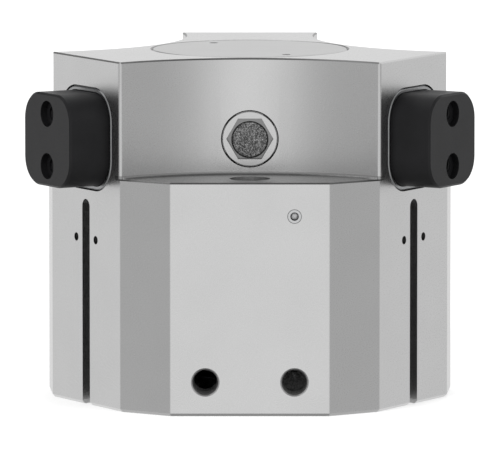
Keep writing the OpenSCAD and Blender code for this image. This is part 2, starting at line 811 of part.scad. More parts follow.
module jaw() {
    low = jaw_z - jaw_h / 2 - OVER;
    high = jaw_z + jaw_h / 2 + OVER;
    apex = jaw_stroke + tip_gap;
    flank = jaw_w;
    color("#26282a")
        difference() {
            intersection() {
                bevelled_bar(apex, jaw_end, 0, jaw_chamfer);
                // the three tips meet at 120 degrees
                translate([0, 0, low])
                    linear_extrude(high - low)
                        polygon([
                            [apex, 0], [apex + flank / tan(60), -flank], [jaw_end + OVER, -flank],
                            [jaw_end + OVER, flank], [apex + flank / tan(60), flank]
                        ]);
            }
            inclined(-3 * jaw_stroke, hook_gap_x, 2 * jaw_w, low, high);
            inclined(-1, hook_neck_t, hook_neck_w + 2 * hook_gap, low, high);
            inclined(hook_neck_t - hook_gap_x, hook_out + hook_gap_x, hook_head_w + 2 * hook_gap, low, high);
            for (s = [-1, 1]) {
                radial(jaw_end - jaw_thread_depth, 0, jaw_z + s * jaw_thread_pitch / 2)
                    drilled(jaw_thread_d, jaw_thread_depth + OVER);
                radial(jaw_end - jaw_sleeve_depth, 0, jaw_z + s * jaw_thread_pitch / 2)
                    cylinder(d = jaw_sleeve_d, h = jaw_sleeve_depth + OVER);
            }
        }
}

module wiper_frame() {
    color("#d4d6d7")
        difference() {
            bevelled_bar(flat_dist - frame_t, flat_dist, frame_outer, frame_chamfer);
            jaw_bar(flat_dist - frame_t - OVER, flat_dist + OVER, frame_inner);
        }
}

module wiper() {
    color("#1d1f20")
        difference() {
            jaw_bar(flat_dist - recess_depth, flat_dist - frame_t, recess_outer - fit_gap);
            jaw_bar(flat_dist - recess_depth - OVER, flat_dist, guide_gap);
        }
}

// ---- vent and channel plugs ----

module vent_screw() {
    x1 = pocket_dist + vent_proud;
    x0 = x1 - vent_l;
    edge = 0.4;
    rotate(FRONT)
        color("#c4c6c7")
            difference() {
                union() {
                    radial(x0, 0, jaw_z) cylinder(d = vent_d, h = vent_l - edge);
                    radial(x1 - edge, 0, jaw_z) cylinder(d1 = vent_d, d2 = vent_d - 2 * edge, h = edge);
                }
                radial(x1 - vent_socket_depth, 0, jaw_z)
                    rotate(30) cylinder(d = vent_hex / cos(30), h = vent_l, $fn = 6);
                radial(x1 - vent_socket_depth - filter_t, 0, jaw_z - filter_drop)
                    cylinder(d = filter_d + 2 * filter_seam, h = vent_l);
                radial(x0 - OVER, 0, jaw_z - filter_drop) cylinder(d = filter_d - 2 * filter_ledge, h = vent_l);
            }
}

module vent_filter() {
    x1 = pocket_dist + vent_proud - vent_socket_depth;
    color("#77797b")
        rotate(FRONT) radial(x1 - filter_t, 0, jaw_z - filter_drop) cylinder(d = filter_d, h = filter_t);
}

// Where the two expander plugs sit, drawn along +Z with the outside face up
module at_expanders() {
    translate([port_x, -flat_dist, cross_z]) rotate([90, 0, 0]) children();
    translate([port_x, riser_y, 0]) rotate([180, 0, 0]) children();
}

module expander_sleeves() {
    color("#cfd1d2")
        at_expanders()
            difference() {
                translate([0, 0, -expander_l]) cylinder(d = expander_d - 2 * fit_gap, h = expander_l);
                translate([0, 0, sleeve_floor - expander_l])
                    cylinder(d = expander_ball_d + 2 * fit_gap, h = expander_l);
            }
}

module expander_balls() {
    color("#e3e5e6")
        at_expanders() translate([0, 0, -expander_ball_d / 2 - ball_sink]) sphere(d = expander_ball_d);
}

housing();
top_cover();
top_cover_oring();
end_cap();
end_cap_oring();
end_cap_clip();
rod_bush();
rod_seal();
upper_bumper();
lower_bumper();
piston_upper();
piston_lower();
piston_magnet();
piston_seal();
piston_guide_ring();
spigot_oring();
piston_screw();
hook_rod();
rotate(REAR) jaw();  // jaw_rear
rotate(LEFT) jaw();  // jaw_left
rotate(RIGHT) jaw();  // jaw_right
rotate(REAR) wiper_frame();  // wiper_frame_rear
rotate(LEFT) wiper_frame();  // wiper_frame_left
rotate(RIGHT) wiper_frame();  // wiper_frame_right
rotate(REAR) wiper();  // wiper_rear
rotate(LEFT) wiper();  // wiper_left
rotate(RIGHT) wiper();  // wiper_right
vent_screw();
vent_filter();
expander_sleeves();
expander_balls();
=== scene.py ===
import math
import random

import bpy
from mathutils import Matrix, Vector


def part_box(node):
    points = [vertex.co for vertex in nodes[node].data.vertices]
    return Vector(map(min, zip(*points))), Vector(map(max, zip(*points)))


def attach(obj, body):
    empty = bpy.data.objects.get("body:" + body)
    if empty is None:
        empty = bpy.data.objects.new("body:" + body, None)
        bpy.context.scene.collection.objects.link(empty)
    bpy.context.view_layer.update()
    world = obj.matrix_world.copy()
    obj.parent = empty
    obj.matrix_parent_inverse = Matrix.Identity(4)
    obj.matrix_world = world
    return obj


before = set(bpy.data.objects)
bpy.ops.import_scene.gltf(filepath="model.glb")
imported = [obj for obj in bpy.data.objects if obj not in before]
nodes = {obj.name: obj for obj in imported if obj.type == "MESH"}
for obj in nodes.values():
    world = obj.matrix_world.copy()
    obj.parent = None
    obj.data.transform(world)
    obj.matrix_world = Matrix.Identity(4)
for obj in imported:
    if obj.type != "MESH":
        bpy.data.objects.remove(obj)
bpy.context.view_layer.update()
MM = 0.001
bpy.ops.object.select_all(action="DESELECT")

# ---------------------------------------------------------------------------------------------
# Housing: one block of aluminium, milled all over and clear anodised, which leaves an even
# satin skin with a very fine grain. It carries every other piece and stands on its foot face.
# ---------------------------------------------------------------------------------------------
HOUSING_TONE = (0.66, 0.66, 0.66)
HOUSING_ROUGH = (0.26, 0.33)
EDGE_TINT = (0.83, 0.83, 0.83, 1)
SIDES = {"rear": 90, "left": 210, "right": 330}  # bearing of each jaw, in degrees
BETWEEN = (30, 150, 270)  # bearings of the pockets between the jaws
FACE = 65.0
LEDGE_Z = 80
TOP_Z = 120
PORT_X = 15.2
PORT_Z = 11.7
BRACKET_X = 6.8
BRACKET_Z = 57.5

# Places painted darker as shade, each as a bearing and two corners of a box that is turned to it.
PORT_HALF = 4.6  # half the width of a box round a port
SLOT_HALF = 3.7
BRACKET_HALF = 1.8
POCKET_BACK = 28  # distance from the axis at which the boxes in a pocket begin
SKIN = 0.1  # how far a box reaches past a face, or stops short of it
PORT_BORES = [
    (
        270,
        (48, across - PORT_HALF, PORT_Z - PORT_HALF),
        (FACE - 0.4, across + PORT_HALF, PORT_Z + PORT_HALF),
    )
    for across in (-PORT_X, PORT_X)
]
SLOTS = [(way, (55, -SLOT_HALF, 1.5), (FACE - SKIN, SLOT_HALF, 71.5)) for way in SIDES.values()]
BRACKET_BORES = [
    (
        way,
        (58, across - BRACKET_HALF, BRACKET_Z - BRACKET_HALF),
        (FACE - SKIN, across + BRACKET_HALF, BRACKET_Z + BRACKET_HALF),
    )
    for way in SIDES.values()
    for across in (-BRACKET_X, BRACKET_X)
]
LEDGES = [
    (way, (POCKET_BACK, -42, LEDGE_Z - 0.6), (FACE + 1, 42, LEDGE_Z + SKIN)) for way in BETWEEN
]
FILLETS = [
    (way, (POCKET_BACK, -46, LEDGE_Z + SKIN), (55, 46, LEDGE_Z + 1)) for way in BETWEEN
]
# Painted shade: thin dark lines on the broken edges below the top face and below each ledge.
RIMS = [  # the broken edges below the top face and below each ledge
    (way, (near, -across, top - 0.53), (far, across, top - 0.02))
    for way in BETWEEN
    for near, far, across, top in ((POCKET_BACK, 52.8, 44, TOP_Z), (50, FACE + 1, 46, LEDGE_Z))
]
# Painted shade in the port bores, slots and bracket bores, on the ledges and fillets and along the broken
# edges, with the share of the tone that is left there.
SHADE_PAINTED_PLACES = [
    (PORT_BORES, 0.68),
    (SLOTS, 0.64),
    (BRACKET_BORES, 0.2),
    (LEDGES, 0.9),
    (FILLETS, 0.55),
    (RIMS, 0.38),
]


def new_material(name):
    """An empty node material with a Principled shader; returns it with its tree and shader."""
    material = bpy.data.materials.new(name)
    material.use_nodes = True
    tree = material.node_tree
    tree.nodes.clear()
    shader = tree.nodes.new("ShaderNodeBsdfPrincipled")
    output = tree.nodes.new("ShaderNodeOutputMaterial")
    tree.links.new(shader.outputs["BSDF"], output.inputs["Surface"])
    return material, tree, shader


def own_place(tree, stretch=(1, 1, 1), centre=(0, 0, 0), turn_z=0):
    """Object coordinates, moved to centre, turned about Z and stretched."""
    where = tree.nodes.new("ShaderNodeTexCoord")
    mapping = tree.nodes.new("ShaderNodeMapping")
    mapping.vector_type = "TEXTURE"
    mapping.inputs["Location"].default_value = centre
    mapping.inputs["Rotation"].default_value = (0, 0, turn_z)
    mapping.inputs["Scale"].default_value = stretch
    tree.links.new(where.outputs["Object"], mapping.inputs["Vector"])
    return mapping.outputs["Vector"]


def grain(tree, vector, size, detail=2, rough=0.5):
    """Noise whose features are about size metres across; returns its value output."""
    noise = tree.nodes.new("ShaderNodeTexNoise")
    noise.inputs["Scale"].default_value = 1 / size
    noise.inputs["Detail"].default_value = detail
    noise.inputs["Roughness"].default_value = rough
    tree.links.new(vector, noise.inputs["Vector"])
    return noise.outputs["Fac"]


def spread(tree, value, low, high, start=0.3, stop=0.7):
    """Maps a value from start..stop to low..high."""
    ranged = tree.nodes.new("ShaderNodeMapRange")
    ranged.inputs["From Min"].default_value = start
    ranged.inputs["From Max"].default_value = stop
    ranged.inputs["To Min"].default_value = low
    ranged.inputs["To Max"].default_value = high
    tree.links.new(value, ranged.inputs["Value"])
    return ranged.outputs["Result"]


def tint(tree, value, dark, light, start=0.3, stop=0.7):
    """Colour that goes from dark to light as the value goes from start to stop."""
    ramp = tree.nodes.new("ShaderNodeValToRGB")
    ramp.color_ramp.elements[0].position = start
    ramp.color_ramp.elements[1].position = stop
    ramp.color_ramp.elements[0].color = (*dark, 1)
    ramp.color_ramp.elements[1].color = (*light, 1)
    tree.links.new(value, ramp.inputs["Fac"])
    return ramp.outputs["Color"]


def relief(tree, height, depth, strength, under=None):
    """Bump of the given depth in metres, on top of another bump where one is given."""
    bump = tree.nodes.new("ShaderNodeBump")
    bump.inputs["Strength"].default_value = strength
    bump.inputs["Distance"].default_value = depth
    tree.links.new(height, bump.inputs["Height"])
    if under is not None:
        tree.links.new(under, bump.inputs["Normal"])
    return bump.outputs["Normal"]


def shade(tone, share):
    """The colour made lighter or darker by a share."""
    return tuple(min(1.0, c * share) for c in tone)


def math_node(tree, operation, first, second=None, clamp=False):
    """A Math node on sockets or numbers; returns its value."""
    node = tree.nodes.new("ShaderNodeMath")
    node.operation = operation
    node.use_clamp = clamp
    for socket, value in zip(node.inputs, (first, second)):
        if isinstance(value, (int, float)):
            socket.default_value = value
        elif value is not None:
            tree.links.new(value, socket)
    return node.outputs["Value"]


def within(tree, bearing, low, high):
    """1 inside a box in millimetres whose X axis points along the bearing, 0 outside it."""
    turn = math.radians(bearing)
    middle = Vector([(a + b) / 2 * MM for a, b in zip(low, high)])
    half = [(b - a) / 2 * MM for a, b in zip(low, high)]
    local = own_place(tree, half, Matrix.Rotation(turn, 3, "Z") @ middle, turn)
    away = tree.nodes.new("ShaderNodeVectorMath")
    away.operation = "ABSOLUTE"
    tree.links.new(local, away.inputs[0])
    axes = tree.nodes.new("ShaderNodeSeparateXYZ")
    tree.links.new(away.outputs["Vector"], axes.inputs["Vector"])
    wide = math_node(tree, "MAXIMUM", axes.outputs["X"], axes.outputs["Y"])
    return math_node(tree, "LESS_THAN", math_node(tree, "MAXIMUM", wide, axes.outputs["Z"]), 1)


def darkened(tree, colour, mask, share):
    """The colour, down to a share of itself where the mask is 1."""
    mix = tree.nodes.new("ShaderNodeMix")
    mix.data_type = "RGBA"
    mix.blend_type = "MULTIPLY"
    mix.inputs["B"].default_value = (share, share, share, 1)
    tree.links.new(mask, mix.inputs["Factor"])
    tree.links.new(colour, mix.inputs["A"])
    return mix.outputs["Result"]


def anodised(name, tone, rough, contrast=0.015):
    """Milled and anodised aluminium: cloudy tone, pinhead grain, faint upright lines, and painted
    shade that makes the bores, slots, ledges, fillets and broken edges darker than the outer faces."""
    material, tree, shader = new_material(name)
    place = own_place(tree)
    drawn = own_place(tree, stretch=(1, 1, 60))
    clouds = grain(tree, place, 0.018, detail=3)
    pores = grain(tree, place, 0.00022, detail=1)
    lines = grain(tree, drawn, 0.0004, detail=2)
    link = tree.links.new
    colour = tint(tree, clouds, shade(tone, 1 - contrast), shade(tone, 1 + contrast))
    # painted shade in the hollows, on the ledges and along the broken edges
    for boxes, share in SHADE_PAINTED_PLACES:
        for box in boxes:
            colour = darkened(tree, colour, within(tree, *box), share)
    link(colour, shader.inputs["Base Color"])
    shader.inputs["Metallic"].default_value = 1
    shader.inputs["Specular Tint"].default_value = EDGE_TINT
    link(spread(tree, pores, *rough), shader.inputs["Roughness"])
    fine = relief(tree, pores, 0.0000015, 0.3)
    link(relief(tree, lines, 0.000001, 0.25, fine), shader.inputs["Normal"])
    return material


def dress(names, material):
    """Gives CAD nodes a material, on their own material slots."""
    for name in names:
        for slot in nodes[name].material_slots:
            slot.material = material


dress(["housing"], anodised("satin_anodised_housing", HOUSING_TONE, HOUSING_ROUGH))

# ---------------------------------------------------------------------------------------------
# Threads of the housing: tapped ridges in the two air ports and in the screw holes beside the
#  sensor slots, cut in the same metal, in tones darkened as painted shade, the bracket ones most.
# ---------------------------------------------------------------------------------------------
PORT_THREAD = {"bore_r": 4.4, "ridge": 0.3, "pitch": 0.907, "turns": 11, "steps": 40}
BRACKET_THREAD = {"bore_r": 1.45, "ridge": 0.16, "pitch": 0.5, "turns": 10, "steps": 20}
PORT_LEAD = 1.0  # plain length before the first turn
BRACKET_LEAD = 0.4
FLANK = 0.42  # half the width of a ridge at the bore, as a share of the pitch


def thread_ridge(name, bore_r, ridge, pitch, turns, steps):
    """One tapped thread about +Z: a helical ridge that stands in from a bore."""
    bpy.ops.mesh.primitive_circle_add(
        vertices=4, radius=ridge * MM, location=(bore_r * MM, 0, 0), rotation=(math.pi / 2, 0, 0)
    )
    thread = bpy.context.object
    thread.name = name
    bpy.ops.object.transform_apply(location=True, rotation=True, scale=True)
    bpy.ops.object.mode_set(mode="EDIT")
    bpy.ops.mesh.select_all(action="SELECT")
    taller = FLANK * pitch / ridge
    bpy.ops.transform.resize(value=(1, 1, taller), center_override=(bore_r * MM, 0, 0))
    bpy.ops.object.mode_set(mode="OBJECT")
    helix = thread.modifiers.new("helix", "SCREW")
    helix.axis = "Z"
    helix.screw_offset = pitch * MM
    helix.iterations = turns
    helix.steps = steps
    helix.render_steps = steps
    helix.use_smooth_shade = False
    bpy.ops.object.modifier_apply(modifier=helix.name)
    bpy.ops.object.mode_set(mode="EDIT")
    bpy.ops.mesh.select_all(action="SELECT")
    bpy.ops.mesh.fill_holes(sides=4)
    bpy.ops.mesh.normals_make_consistent(inside=False)
    bpy.ops.object.mode_set(mode="OBJECT")
    bpy.ops.object.shade_smooth_by_angle(angle=math.radians(40))
    return thread


def bore_copy(pattern, name, bearing, out, across, height):
    """A copy with its own mesh, whose +Z runs into the hole at that place of a side face."""
    piece = pattern.copy()
    piece.data = pattern.data.copy()
    piece.name = name
    bpy.context.scene.collection.objects.link(piece)
    seat = Matrix.Translation(Vector((out, across, height)) * MM) @ Matrix.Rotation(-math.pi / 2, 4, "Y")
    piece.data.transform(Matrix.Rotation(math.radians(bearing), 4, "Z") @ seat)
    return piece


def finish_piece(piece, material, body):
    """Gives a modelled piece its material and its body."""
    piece.data.materials.clear()
    piece.data.materials.append(material)
    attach(piece, body)


def drop(pattern):
    """Removes a pattern that has been copied."""
    bpy.data.objects.remove(pattern)
    bpy.ops.object.select_all(action="DESELECT")


# Port threads: the housing tone darkened as painted shade inside the ports.
tapped = anodised("port_thread_painted_shade", shade(HOUSING_TONE, 0.8), HOUSING_ROUGH)
port_thread = thread_ridge("port_thread", **PORT_THREAD)
for side, across in (("left", -PORT_X), ("right", PORT_X)):
    ridge = bore_copy(port_thread, f"port_thread_{side}", 270, FACE - PORT_LEAD, across, PORT_Z)
    finish_piece(ridge, tapped, "body")
drop(port_thread)
# Bracket threads: the housing tone darkened further as painted shade inside the small holes.
shaded = anodised("bracket_thread_painted_shade", shade(HOUSING_TONE, 0.25), HOUSING_ROUGH)
bracket_thread = thread_ridge("bracket_thread", **BRACKET_THREAD)
for side, way in SIDES.items():
    for number, across in enumerate((-BRACKET_X, BRACKET_X)):
        name = f"bracket_thread_{side}_{number}"
        ridge = bore_copy(bracket_thread, name, way, FACE - BRACKET_LEAD, across, BRACKET_Z)
        finish_piece(ridge, shaded, "body")
drop(bracket_thread)

# ---------------------------------------------------------------------------------------------
# Top cover and end cap: turned discs, anodised like the housing, so a ring grain runs round them.
# The top cover is screwed in with a pin spanner, the end cap is held by the retaining ring.
# ---------------------------------------------------------------------------------------------
COVER_TONE = (0.58, 0.58, 0.58)
CAP_TONE = (0.60, 0.605, 0.61)
# Painted shade past the rim of a turned piece, for the joint round it.
RIM_SHADE_SHARE = 0.3  # what is left of the tone past the rim of a turned piece


def off_axis(tree, place, axis):
    """Distance from an axis through the origin of a place."""
    flat = tree.nodes.new("ShaderNodeVectorMath")
    flat.operation = "MULTIPLY"
    flat.inputs[1].default_value = {"Z": (1, 1, 0), "Y": (1, 0, 1), "X": (0, 1, 1)}[axis]
    tree.links.new(place, flat.inputs[0])
    length = tree.nodes.new("ShaderNodeVectorMath")
    length.operation = "LENGTH"
    tree.links.new(flat.outputs["Vector"], length.inputs[0])
    return length.outputs["Value"]


def turned(name, tone, rough, axis="Z", centre=(0, 0, 0), shaded_sockets=(), rim=None):
    """Metal turned on a lathe: fine rings round an axis, of uneven depth. Sockets are boxes of
    painted shade, and all that lies farther than rim from the axis is painted as shade too."""
    material, tree, shader = new_material(name)
    place = own_place(tree, centre=centre)
    link = tree.links.new
    radius = off_axis(tree, place, axis)
    along = tree.nodes.new("ShaderNodeCombineXYZ")
    link(radius, along.inputs["X"])
    rings = grain(tree, along.outputs["Vector"], 0.00035, detail=3, rough=0.6)
    clouds = grain(tree, place, 0.012, detail=3)
    colour = tint(tree, clouds, shade(tone, 0.98), shade(tone, 1.02))
    for box, share in shaded_sockets:
        colour = darkened(tree, colour, within(tree, *box), share)
    if rim is not None:
        colour = darkened(tree, colour, math_node(tree, "GREATER_THAN", radius, rim), RIM_SHADE_SHARE)
    link(colour, shader.inputs["Base Color"])
    shader.inputs["Metallic"].default_value = 1
    shader.inputs["Specular Tint"].default_value = EDGE_TINT
    link(spread(tree, rings, *rough), shader.inputs["Roughness"])
    link(relief(tree, rings, 0.000006, 0.3), shader.inputs["Normal"])
    return material


dress(["top_cover"], turned("turned_cover", COVER_TONE, (0.3, 0.38)))
dress(["end_cap"], turned("turned_end_cap", CAP_TONE, (0.28, 0.36)))

# ---------------------------------------------------------------------------------------------
# Seals and bumpers: moulded black rubber O-rings, lip seals and end-stop rings, dull with a
# faint flow pattern. They sit in grooves of the covers, the housing and the piston.
# ---------------------------------------------------------------------------------------------
RUBBER_TONE = (0.021, 0.021, 0.022)
SEALS = ["top_cover_oring", "end_cap_oring", "rod_seal", "piston_seal", "spigot_oring"]
BUMPERS = ["upper_bumper", "lower_bumper"]


def rubber(name, tone):
    """Moulded rubber: a dull skin with a faint bloom."""
    material, tree, shader = new_material(name)
    place = own_place(tree)
    bloom = grain(tree, place, 0.004, detail=4)
    skin = grain(tree, place, 0.00018, detail=2)
    link = tree.links.new
    link(tint(tree, bloom, shade(tone, 0.85), shade(tone, 1.25)), shader.inputs["Base Color"])
    link(spread(tree, skin, 0.5, 0.66), shader.inputs["Roughness"])
    link(relief(tree, skin, 0.00001, 0.3), shader.inputs["Normal"])
    return material


dress(SEALS + BUMPERS, rubber("seal_rubber_black", RUBBER_TONE))

# ---------------------------------------------------------------------------------------------
# Retaining ring: stamped spring steel with a dark phosphate skin, sprung into its groove below
# the end cap. Its two ears take the pliers.
# ---------------------------------------------------------------------------------------------
RING_TONE = (0.11, 0.112, 0.118)


def steel(name, tone, rough, mark=0.0003, stretch=(1, 1, 1), contrast=0.06, metal=1):
    """Plain or coated stock with a mottled skin and fine marks along one way; metal 0 for
    plastic."""
    material, tree, shader = new_material(name)
    place = own_place(tree)
    drawn = own_place(tree, stretch=stretch)
    mottle = grain(tree, place, 0.006, detail=4)
    marks = grain(tree, drawn, mark, detail=2)
    link = tree.links.new
    colour = tint(tree, mottle, shade(tone, 1 - contrast), shade(tone, 1 + contrast))
    link(colour, shader.inputs["Base Color"])
    shader.inputs["Metallic"].default_value = metal
    link(spread(tree, marks, *rough), shader.inputs["Roughness"])
    link(relief(tree, marks, 0.000006, 0.3), shader.inputs["Normal"])
    return material


dress(["end_cap_clip"], steel("phosphated_spring_steel", RING_TONE, (0.38, 0.5), contrast=0.15))

# ---------------------------------------------------------------------------------------------
# Piston group: two turned aluminium halves with a bonded ring magnet between them, a guide ring
# of brown filled plastic, a blackened cap screw and the sintered bronze bush of the rod.
# ---------------------------------------------------------------------------------------------
PISTON_TONE = (0.56, 0.565, 0.57)
MAGNET_TONE = (0.055, 0.056, 0.062)
GUIDE_TONE = (0.115, 0.066, 0.036)
SCREW_TONE = (0.05, 0.05, 0.053)
BRONZE_TONE = (0.5, 0.36, 0.17)

dress(["piston_upper", "piston_lower"], turned("turned_piston", PISTON_TONE, (0.24, 0.34)))
dress(["piston_magnet"], steel("bonded_magnet", MAGNET_TONE, (0.5, 0.6), contrast=0.3, metal=0))
dress(["piston_guide_ring"], steel("guide_ring_plastic", GUIDE_TONE, (0.45, 0.55), contrast=0.25, metal=0))
dress(["piston_screw"], steel("blackened_screw", SCREW_TONE, (0.35, 0.45), contrast=0.15))
dress(["rod_bush"], steel("sintered_bronze", BRONZE_TONE, (0.35, 0.5), contrast=0.2))

# ---------------------------------------------------------------------------------------------
# Wedge-hook rod: hardened steel, ground on the rod and on the inclined hook faces that pull the
# three jaws. The grinding marks run round the rod and across the hooks.
# ---------------------------------------------------------------------------------------------
ROD_TONE = (0.52, 0.525, 0.53)

dress(["hook_rod"], steel("ground_rod_steel", ROD_TONE, (0.18, 0.28), mark=0.0002, stretch=(12, 12, 1)))

# ---------------------------------------------------------------------------------------------
# Jaws: aluminium bars, hard anodised dull black. Each slides in its guide and carries two centring
# counterbores with a thread below.
# ---------------------------------------------------------------------------------------------
JAW_TONE = (0.0072, 0.0072, 0.0079)
JAW_ROUGH = (0.4, 0.52)
JAW_GLOSS = 0.27
JAW_HOLE_Z = 9.0
JAW_THREAD = {"bore_r": 2.5, "ridge": 0.27, "pitch": 1.0, "turns": 10, "steps": 24}
JAW_LEAD = 2.8


def hard_anodised(name, tone, turn):
    """Dull black skin over milled metal: fine grain with faint lengthwise tool lines."""
    material, tree, shader = new_material(name)
    place = own_place(tree)
    milled = own_place(tree, stretch=(30, 1, 1), turn_z=turn)
    clouds = grain(tree, place, 0.007, detail=3)
    pores = grain(tree, place, 0.0002, detail=1)
    lines = grain(tree, milled, 0.0005, detail=2)
    link = tree.links.new
    link(tint(tree, clouds, shade(tone, 0.85), shade(tone, 1.2)), shader.inputs["Base Color"])
    shader.inputs["Specular IOR Level"].default_value = JAW_GLOSS
    link(spread(tree, pores, *JAW_ROUGH), shader.inputs["Roughness"])
    fine = relief(tree, pores, 0.000008, 0.4)
    link(relief(tree, lines, 0.000006, 0.35, fine), shader.inputs["Normal"])
    return material


jaw_low, jaw_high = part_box("jaw_rear")
jaw_face = jaw_high.y / MM
jaw_z = (jaw_low.z + jaw_high.z) / 2 / MM
jaw_thread = thread_ridge("jaw_thread", **JAW_THREAD)
for side, way in SIDES.items():
    skin = hard_anodised(f"black_jaw_{side}", JAW_TONE, math.radians(way))
    dress([f"jaw_{side}"], skin)
    for number, rise in enumerate((-JAW_HOLE_Z, JAW_HOLE_Z)):
        name = f"jaw_thread_{side}_{number}"
        ridge = bore_copy(jaw_thread, name, way, jaw_face - JAW_LEAD, 0, jaw_z + rise)
        finish_piece(ridge, skin, f"jaw_{side}_slide_block")
drop(jaw_thread)

# ---------------------------------------------------------------------------------------------
# Wipers: a moulded rubber lip that scrapes the jaw, clamped behind a thin stainless frame pressed
# into the recess round each jaw.
# ---------------------------------------------------------------------------------------------
FRAME_TONE = (0.35, 0.355, 0.36)

stainless = steel("stainless_frame", FRAME_TONE, (0.25, 0.36), mark=0.00025)
dress([f"wiper_frame_{side}" for side in SIDES], stainless)
dress([f"wiper_{side}" for side in SIDES], rubber("wiper_rubber_black", RUBBER_TONE))

# ---------------------------------------------------------------------------------------------
# Vent: a hollow screw turned from aluminium, with a hexagon socket down to a disc of sintered
# grains that lets the drive chamber breathe.
# ---------------------------------------------------------------------------------------------
VENT_TONE = (0.645, 0.645, 0.645)
# Painted shade inside the hexagon socket of the vent screw: a box round it and the share of the tone left
# there.
SOCKET_HALF = 8.2  # half the width of a box round the hexagon
SOCKET_SHADE_SHARE = 0.43  # what is left of the tone inside it
SINTER_DARK = (0.17, 0.17, 0.17)
SINTER_LIGHT = (0.5, 0.5, 0.5)
SINTER_RIM = 0.0004  # width of the dark edge of the disc
SINTER_RIM_SHARE = 0.2
GRAIN_R = 0.00026
GRAIN_STEP = 0.00043
GRAIN_DRIFT = 0.22 * GRAIN_STEP
ROW_STEP = 0.87 * GRAIN_STEP

vent_low, vent_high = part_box("vent_screw")
vent_mid = (vent_low + vent_high) / 2
# box of painted shade over the hexagon socket
socket_shade_box = (
    270,
    (30, -SOCKET_HALF, jaw_z - SOCKET_HALF),
    (-vent_low.y / MM - 0.05, SOCKET_HALF, jaw_z + SOCKET_HALF),
)
vent_skin = turned(
    "turned_vent",
    VENT_TONE,
    (0.26, 0.34),
    axis="Y",
    centre=vent_mid - Vector((vent_mid.x, 0, 0)),
    shaded_sockets=[(socket_shade_box, SOCKET_SHADE_SHARE)],
)
dress(["vent_screw"], vent_skin)


def sinter(name, size, centre, rim):
    """Sintered grains: bright facets and dark gaps close together, and a dark rim."""
    material, tree, shader = new_material(name)
    gaps = grain(tree, own_place(tree), size, detail=2, rough=0.7)
    link = tree.links.new
    radius = off_axis(tree, own_place(tree, centre=centre), "Y")
    outside = math_node(tree, "GREATER_THAN", radius, rim)
    colour = tint(tree, gaps, SINTER_DARK, SINTER_LIGHT, 0.4, 0.62)
    link(darkened(tree, colour, outside, SINTER_RIM_SHARE), shader.inputs["Base Color"])
    shader.inputs["Metallic"].default_value = 1
    link(spread(tree, gaps, 0.6, 0.35), shader.inputs["Roughness"])
    link(relief(tree, gaps, 0.00005, 0.5), shader.inputs["Normal"])
    return material


disc_low, disc_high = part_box("vent_filter")
disc_mid = (disc_low + disc_high) / 2
disc_r = (disc_high.x - disc_low.x) / 2
sintered = sinter("sintered_grains", 0.0005, disc_mid, disc_r - SINTER_RIM)
dress(["vent_filter"], sintered)

bpy.ops.mesh.primitive_ico_sphere_add(subdivisions=1, radius=GRAIN_R)
pattern = bpy.context.object
bpy.ops.object.mode_set(mode="EDIT")
bpy.ops.mesh.select_all(action="SELECT")
bpy.ops.transform.vertex_random(offset=GRAIN_R * 0.25, seed=3)
bpy.ops.object.mode_set(mode="OBJECT")
bpy.ops.object.select_all(action="DESELECT")
scatter = random.Random(11)
rows = int(2 * disc_r / GRAIN_STEP) + 1
for row in range(rows):
    for column in range(rows):
        x = (column + 0.5 * (row % 2) - rows / 2) * GRAIN_STEP + scatter.uniform(-1, 1) * GRAIN_DRIFT
        z = (row - rows / 2) * ROW_STEP + scatter.uniform(-1, 1) * GRAIN_DRIFT
        if math.hypot(x, z) > disc_r - GRAIN_R:
            continue
        angle = scatter.uniform(0, math.tau)
        spindle = Vector([scatter.uniform(-1, 1) for _ in "xyz"])
        size = scatter.uniform(0.8, 1.15)
        sunk = disc_low.y + GRAIN_R * scatter.uniform(0.25, 0.55)
        seat = Matrix.Translation((disc_mid.x + x, sunk, disc_mid.z + z))
        bead = pattern.copy()
        bead.data = pattern.data.copy()
        bead.data.transform(seat @ Matrix.Rotation(angle, 4, spindle) @ Matrix.Scale(size, 4))
        bpy.context.scene.collection.objects.link(bead)
        bead.select_set(True)
        bpy.context.view_layer.objects.active = bead
bpy.ops.object.join()
beads = bpy.context.object
beads.name = "vent_filter_grains"
finish_piece(beads, sintered, "body")
drop(pattern)

# ---------------------------------------------------------------------------------------------
# Channel plugs: a steel sleeve spread by a pressed-in ball, which closes a drilled air channel.
# One sits in the front face and one in the foot face. The outer rim of the sleeve is painted dark as shade
# in the joint round it.
# ---------------------------------------------------------------------------------------------
PLUG_TONE = (0.62, 0.625, 0.63)
PLUG_R = 2.45
PLUG_Z = 68.5
# width of the sleeve's outer rim that is painted dark as shade in the joint
PLUG_SHADE_RIM = 0.22

sleeve_skin = turned(
    "plug_sleeve_steel",
    PLUG_TONE,
    (0.25, 0.35),
    axis="Y",
    centre=Vector((PORT_X, -FACE, PLUG_Z)) * MM,
    rim=(PLUG_R - PLUG_SHADE_RIM) * MM,
)
dress(["expander_sleeves"], sleeve_skin)
dress(["expander_balls"], steel("plug_ball_steel", shade(PLUG_TONE, 0.7), (0.5, 0.6), metal=0.35))

